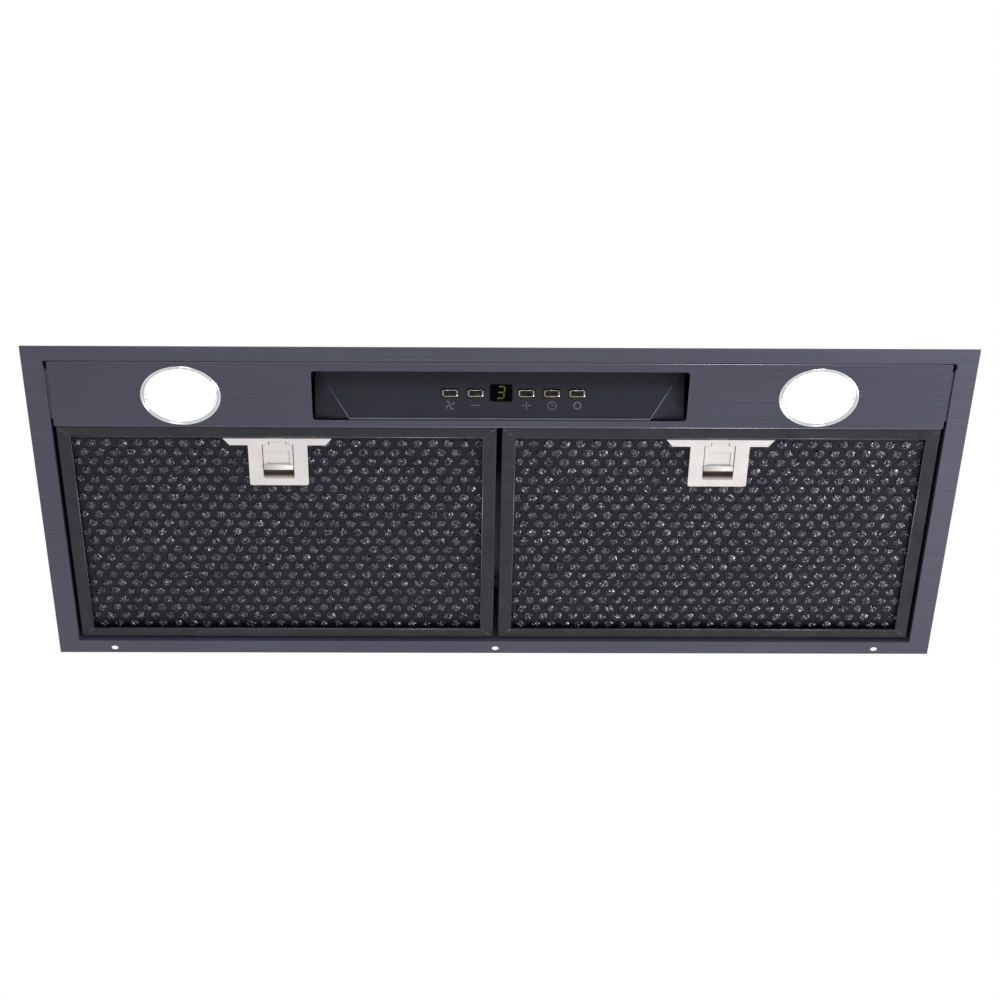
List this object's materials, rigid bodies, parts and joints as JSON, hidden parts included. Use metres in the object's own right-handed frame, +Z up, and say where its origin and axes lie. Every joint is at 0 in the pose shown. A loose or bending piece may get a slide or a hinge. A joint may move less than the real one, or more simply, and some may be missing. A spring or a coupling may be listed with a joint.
{
  "type": "built-in range hood",
  "caption": "Built-in range hood for a cabinet cut-out, with lit front fascia, leaning key strip, two latched grease filters, blower and duct collar.",
  "frame": {"origin": "centre of the mounting flange's underside", "axes": "+X to the cook's right, +Y to the wall, +Z up towards the duct"},
  "size_m": [0.7, 0.335, 0.178],
  "materials": {
    "steel_casing": "satin brushed stainless steel",
    "steel_fascia": "satin brushed stainless steel",
    "galvanised": "galvanised sheet",
    "filter_rail": "satin anodised aluminium",
    "filter_sheet": "perforated aluminium sheet",
    "filter_foil": "expanded aluminium foil",
    "latch_silver": "silver-white moulded plastic",
    "insert_black": "fine-textured black plastic",
    "key_silver": "metallised plastic key",
    "window_black": "smoked glossy pane",
    "lamp_rim": "polished rim",
    "lamp_glass": "frosted opal diffuser, lit",
    "lamp_alloy": "turned aluminium",
    "board_green": "circuit board",
    "shaft_steel": "ground steel",
    "fan_grey": "moulded grey plastic",
    "scroll_grey": "moulded grey plastic",
    "motor_steel": "zinc-plated steel",
    "copper_winding": "varnished copper wire",
    "rubber_black": "matt rubber",
    "box_grey": "moulded light grey plastic",
    "spring_steel": "spring steel",
    "zinc_screw": "zinc-plated steel",
    "terminal_white": "moulded white plastic",
    "collar_black": "moulded black plastic"
  },
  "bodies": {
    "hood": {"blower_box": "galvanised", "cable_gland": "collar_black", "canopy_frame": "steel_casing", "control_board": "board_green", "control_cover": "box_grey", "control_insert": "insert_black", "damper_pin": "shaft_steel", "display_module": "window_black", "display_window": "window_black", "electronics_box": "box_grey", "electronics_lid": "box_grey", "front_panel": "steel_fascia", "hood_screws": "zinc_screw", "key_switches": "fan_grey", "lamp_bezel_left": "lamp_rim", "lamp_bezel_right": "lamp_rim", "lamp_body_left": "lamp_alloy", "lamp_body_right": "lamp_alloy", "lamp_clips": "spring_steel", "lamp_led_boards": "board_green", "lamp_lens_left": "lamp_glass", "lamp_lens_right": "lamp_glass", "motor_bearings": "shaft_steel", "motor_bracket": "galvanised", "motor_can_left": "motor_steel", "motor_can_right": "motor_steel", "motor_grommets": "rubber_black", "mounting_clips": "spring_steel", "outlet_collar": "collar_black", "panel_brackets": "galvanised", "power_board": "board_green", "roof_panel": "galvanised", "run_capacitor": "terminal_white", "scroll_left": "scroll_grey", "scroll_right": "scroll_grey", "stator_core": "motor_steel", "stator_windings": "copper_winding", "terminal_block": "terminal_white"},
    "fan": {"impeller": "fan_grey", "motor_shaft": "shaft_steel", "rotor_core": "motor_steel"},
    "damper_front": {"damper_flap_front": "collar_black"},
    "damper_rear": {"damper_flap_rear": "collar_black"},
    "key_fan_cap": {"key_fan": "key_silver"},
    "key_minus_cap": {"key_minus": "key_silver"},
    "key_plus_cap": {"key_plus": "key_silver"},
    "key_timer_cap": {"key_timer": "key_silver"},
    "key_light_cap": {"key_light": "key_silver"},
    "filter_left": {"filter_frame_left": "filter_rail", "filter_facing_left": "filter_sheet", "filter_mesh_left": "filter_foil", "latch_plate_left": "latch_silver", "latch_spring_left": "spring_steel"},
    "latch_left": {"latch_slider_left": "latch_silver"},
    "filter_right": {"filter_frame_right": "filter_rail", "filter_facing_right": "filter_sheet", "filter_mesh_right": "filter_foil", "latch_plate_right": "latch_silver", "latch_spring_right": "spring_steel"},
    "latch_right": {"latch_slider_right": "latch_silver"}
  },
  "joints": [
    {"name": "fan_spin", "type": "hinge", "parent": "hood", "child": "fan", "pos_m": [0, 0.0785, 0.082], "axis": [1, 0, 0], "continuous": true},
    {"name": "damper_front_swing", "type": "hinge", "parent": "hood", "child": "damper_front", "pos_m": [0, 0.068, 0.162], "axis": [-1, 0, 0], "range_deg": [0, 75]},
    {"name": "damper_rear_swing", "type": "hinge", "parent": "hood", "child": "damper_rear", "pos_m": [0, 0.068, 0.162], "axis": [1, 0, 0], "range_deg": [0, 75]},
    {"name": "key_fan_press", "type": "slide", "parent": "hood", "child": "key_fan_cap", "axis": [0, 0.5736, 0.8192], "range_m": [0, 0.0008], "stiffness_N_per_m": 600},
    {"name": "key_minus_press", "type": "slide", "parent": "hood", "child": "key_minus_cap", "axis": [0, 0.5736, 0.8192], "range_m": [0, 0.0008], "stiffness_N_per_m": 600},
    {"name": "key_plus_press", "type": "slide", "parent": "hood", "child": "key_plus_cap", "axis": [0, 0.5736, 0.8192], "range_m": [0, 0.0008], "stiffness_N_per_m": 600},
    {"name": "key_timer_press", "type": "slide", "parent": "hood", "child": "key_timer_cap", "axis": [0, 0.5736, 0.8192], "range_m": [0, 0.0008], "stiffness_N_per_m": 600},
    {"name": "key_light_press", "type": "slide", "parent": "hood", "child": "key_light_cap", "axis": [0, 0.5736, 0.8192], "range_m": [0, 0.0008], "stiffness_N_per_m": 600},
    {"name": "filter_left_swing", "type": "hinge", "parent": "hood", "child": "filter_left", "pos_m": [0, 0.152, 0.003], "axis": [1, 0, 0], "range_deg": [0, 60]},
    {"name": "latch_left_pull", "type": "slide", "parent": "filter_left", "child": "latch_left", "axis": [0, 1, 0], "range_m": [0, 0.006], "stiffness_N_per_m": 160, "springref_m": -0.004, "deforming": ["latch_spring_left"]},
    {"name": "filter_right_swing", "type": "hinge", "parent": "hood", "child": "filter_right", "pos_m": [0, 0.152, 0.003], "axis": [1, 0, 0], "range_deg": [0, 60]},
    {"name": "latch_right_pull", "type": "slide", "parent": "filter_right", "child": "latch_right", "axis": [0, 1, 0], "range_m": [0, 0.006], "stiffness_N_per_m": 160, "springref_m": -0.004, "deforming": ["latch_spring_right"]}
  ]
}
